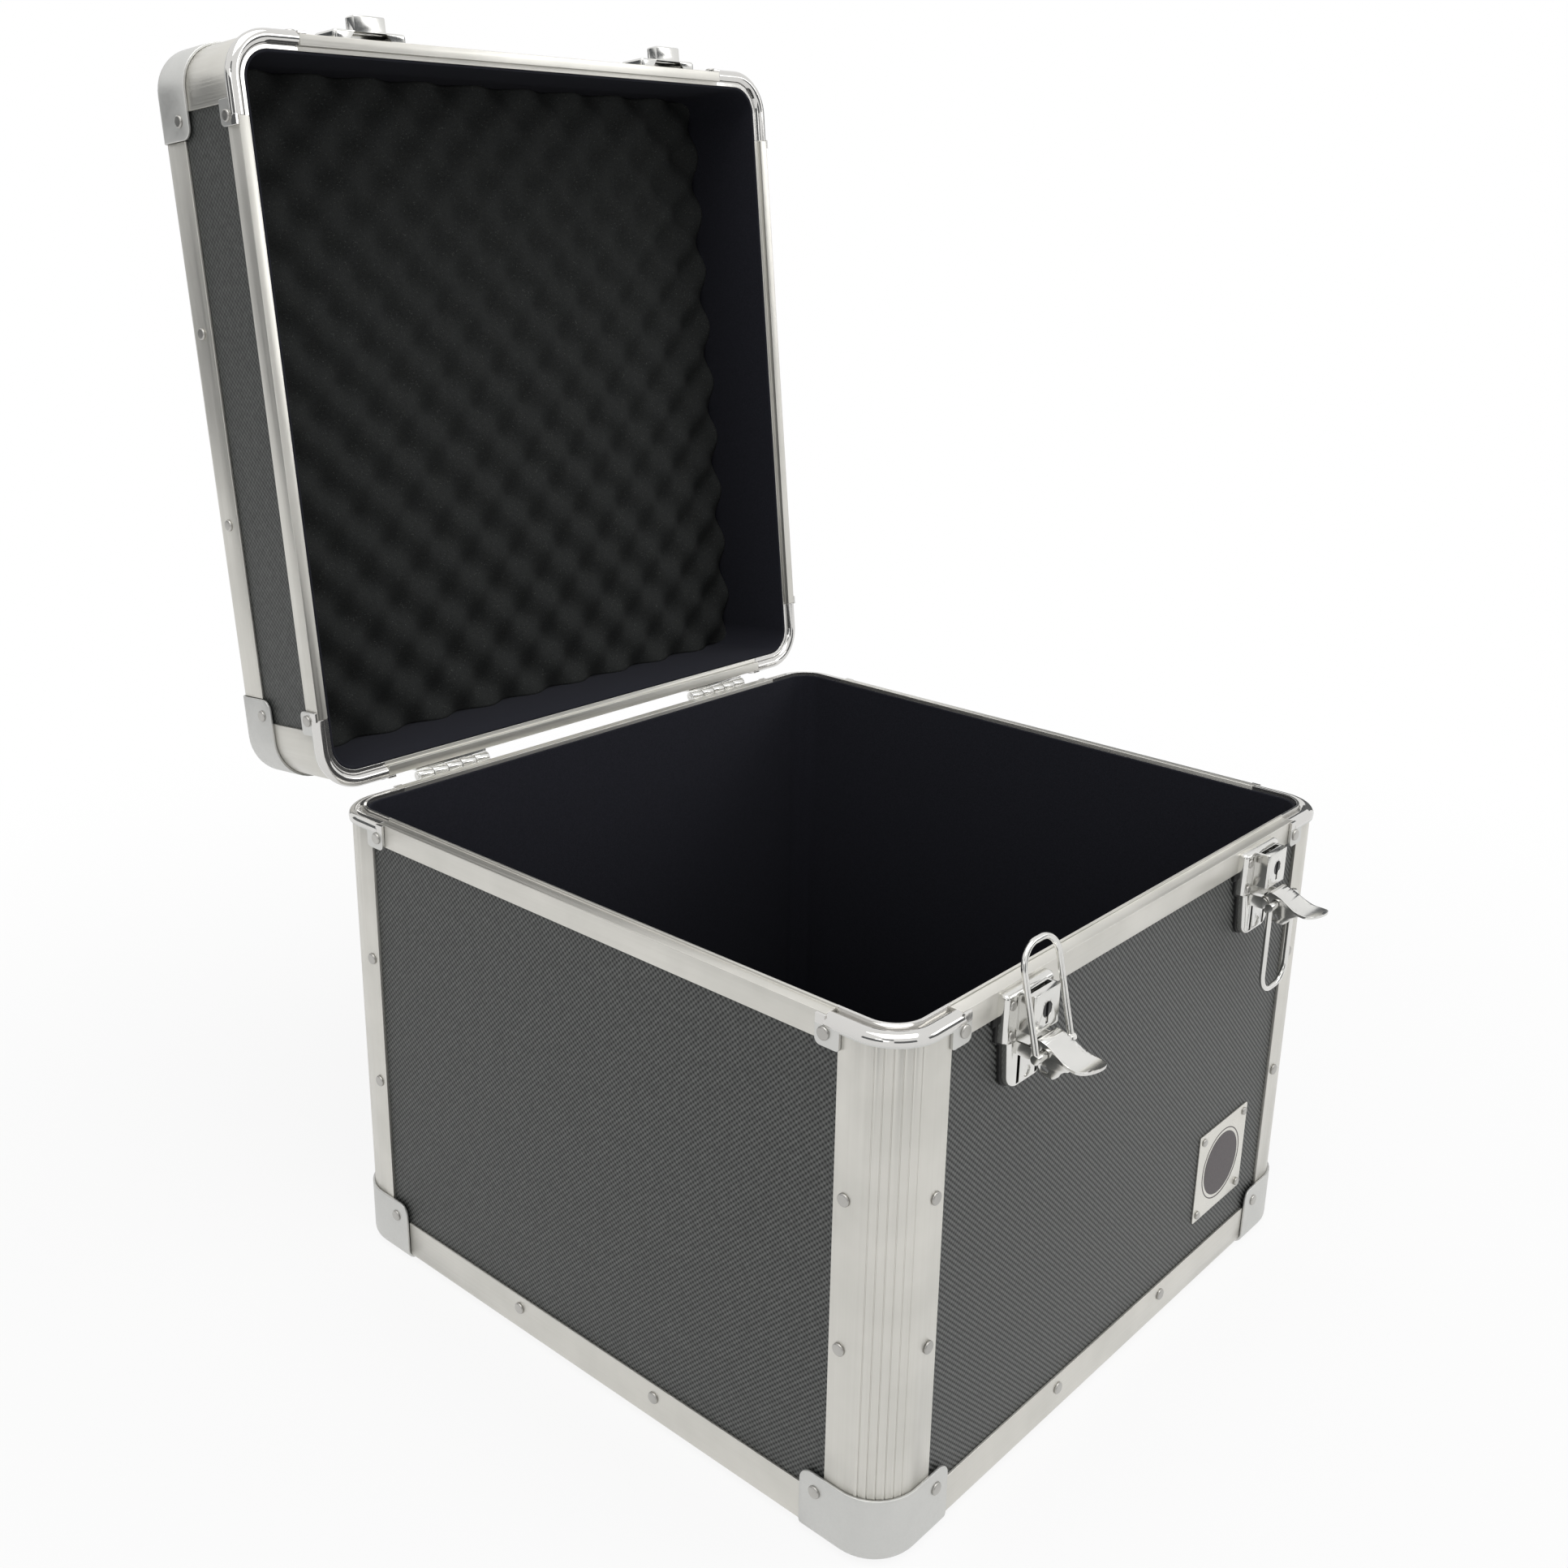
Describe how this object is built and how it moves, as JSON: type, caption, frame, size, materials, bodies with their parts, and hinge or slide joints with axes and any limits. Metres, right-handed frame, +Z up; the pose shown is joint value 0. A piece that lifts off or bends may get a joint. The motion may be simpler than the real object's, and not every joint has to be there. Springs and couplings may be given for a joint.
{
  "type": "record carrying case",
  "caption": "Boxed carrying case for long-playing records with an aluminium frame, ball corners, hinged foam-lined lid, draw latches and a top handle.",
  "frame": {"origin": "on the floor, in the middle of the plane that the four bottom ball corners stand on", "axes": "+Z up, front with the latches towards -Y, +X to the right seen from the front"},
  "size_m": [0.3926, 0.5528, 0.6688],
  "materials": {
    "laminate_board": "plywood board faced with charcoal laminate in a fine woven-look emboss",
    "lining": "smooth dark navy-black foam lining",
    "foam": "open-cell charcoal egg-crate foam",
    "frame_aluminium": "satin rolled extrusion with fine lines along its length",
    "corner_steel": "satin pressed sheet",
    "polished_corner": "polished pressed corner",
    "rivet_steel": "plated rivet heads, slightly dulled",
    "badge_plate": "bare plated plate",
    "packer": "matt black packer",
    "lock_black": "dark lock barrel",
    "grip_rubber": "moulded black grip",
    "latch_nickel": "bright nickel-plated pressed steel"
  },
  "bodies": {
    "base": {"base_front_panel": "laminate_board", "base_right_panel": "laminate_board", "base_back_panel": "laminate_board", "base_left_panel": "laminate_board", "base_front_bottom_rail": "frame_aluminium", "base_right_bottom_rail": "frame_aluminium", "base_back_bottom_rail": "frame_aluminium", "base_left_bottom_rail": "frame_aluminium", "base_front_rim_rail": "frame_aluminium", "base_right_rim_rail": "frame_aluminium", "base_back_rim_rail": "frame_aluminium", "base_left_rim_rail": "frame_aluminium", "base_front_left_post": "frame_aluminium", "base_front_right_post": "frame_aluminium", "base_back_right_post": "frame_aluminium", "base_back_left_post": "frame_aluminium", "base_floor_panel": "laminate_board", "base_floor_lining": "lining", "base_wall_lining": "lining", "base_rim_corners": "polished_corner", "base_ball_corners": "corner_steel", "base_rivets": "rivet_steel", "badge_plate": "badge_plate", "latch_packers": "packer", "left_latch_plate": "latch_nickel", "right_latch_plate": "latch_nickel", "left_lock_case": "latch_nickel", "right_lock_case": "latch_nickel", "left_hinge_base_leaf": "latch_nickel", "right_hinge_base_leaf": "latch_nickel", "hinge_pins": "latch_nickel"},
    "lid": {"lid_front_panel": "laminate_board", "lid_right_panel": "laminate_board", "lid_back_panel": "laminate_board", "lid_left_panel": "laminate_board", "lid_top_panel": "laminate_board", "lid_wall_lining": "lining", "lid_foam": "foam", "lid_corner_posts": "frame_aluminium", "lid_rim_corners": "polished_corner", "lid_rim_rails": "frame_aluminium", "lid_top_rails": "frame_aluminium", "lid_ball_corners": "corner_steel", "lid_rivets": "rivet_steel", "left_strike": "latch_nickel", "right_strike": "latch_nickel", "left_hinge_lid_leaf": "latch_nickel", "right_hinge_lid_leaf": "latch_nickel", "handle_brackets": "latch_nickel"},
    "handle": {"handle_bow": "latch_nickel", "handle_sleeve": "grip_rubber"},
    "left_lever": {"left_lever": "latch_nickel"},
    "left_bail_pin": {"left_bail_pin": "latch_nickel"},
    "left_bail": {"left_bail": "latch_nickel"},
    "left_lock_barrel": {"left_lock_barrel": "lock_black"},
    "right_lever": {"right_lever": "latch_nickel"},
    "right_bail_pin": {"right_bail_pin": "latch_nickel"},
    "right_bail": {"right_bail": "latch_nickel"},
    "right_lock_barrel": {"right_lock_barrel": "lock_black"}
  },
  "joints": [
    {"name": "lid_hinge", "type": "hinge", "parent": "base", "child": "lid", "pos_m": [0, 0.1993, 0.2655], "axis": [1, 0, 0], "range_deg": [0, 96.1]},
    {"name": "handle_swing", "type": "hinge", "parent": "lid", "child": "handle", "pos_m": [0, 0.30251, 0.45491], "axis": [1, 0, 0], "range_deg": [-6.1, 173.9]},
    {"name": "left_lever_fold", "type": "hinge", "parent": "base", "child": "left_lever", "pos_m": [-0.109, -0.2055, 0.237], "axis": [1, 0, 0], "range_deg": [0, 97]},
    {"name": "left_pin_turn", "type": "hinge", "parent": "left_lever", "child": "left_bail_pin", "pos_m": [-0.109, -0.2122, 0.2378], "axis": [1, 0, 0], "range_deg": [-92, 1]},
    {"name": "left_bail_swing", "type": "hinge", "parent": "left_bail_pin", "child": "left_bail", "pos_m": [-0.109, -0.2122, 0.2378], "axis": [1, 0, 0], "range_deg": [0, 193.2]},
    {"name": "left_lock_turn", "type": "hinge", "parent": "base", "child": "left_lock_barrel", "pos_m": [-0.109, -0.207, 0.2548], "axis": [0, 1, 0], "range_deg": [0, 90]},
    {"name": "right_lever_fold", "type": "hinge", "parent": "base", "child": "right_lever", "pos_m": [0.109, -0.2055, 0.237], "axis": [1, 0, 0], "range_deg": [0, 97]},
    {"name": "right_pin_turn", "type": "hinge", "parent": "right_lever", "child": "right_bail_pin", "pos_m": [0.109, -0.2122, 0.2378], "axis": [1, 0, 0], "range_deg": [-92, 1]},
    {"name": "right_bail_swing", "type": "hinge", "parent": "right_bail_pin", "child": "right_bail", "pos_m": [0.109, -0.2122, 0.2378], "axis": [1, 0, 0], "range_deg": [-193.2, 0]},
    {"name": "right_lock_turn", "type": "hinge", "parent": "base", "child": "right_lock_barrel", "pos_m": [0.109, -0.207, 0.2548], "axis": [0, 1, 0], "range_deg": [0, 90]}
  ],
  "couplings": [
    {"joint": "left_pin_turn", "follows": "left_lever_fold", "ratio": -0.93093},
    {"joint": "right_pin_turn", "follows": "right_lever_fold", "ratio": -0.93093}
  ]
}
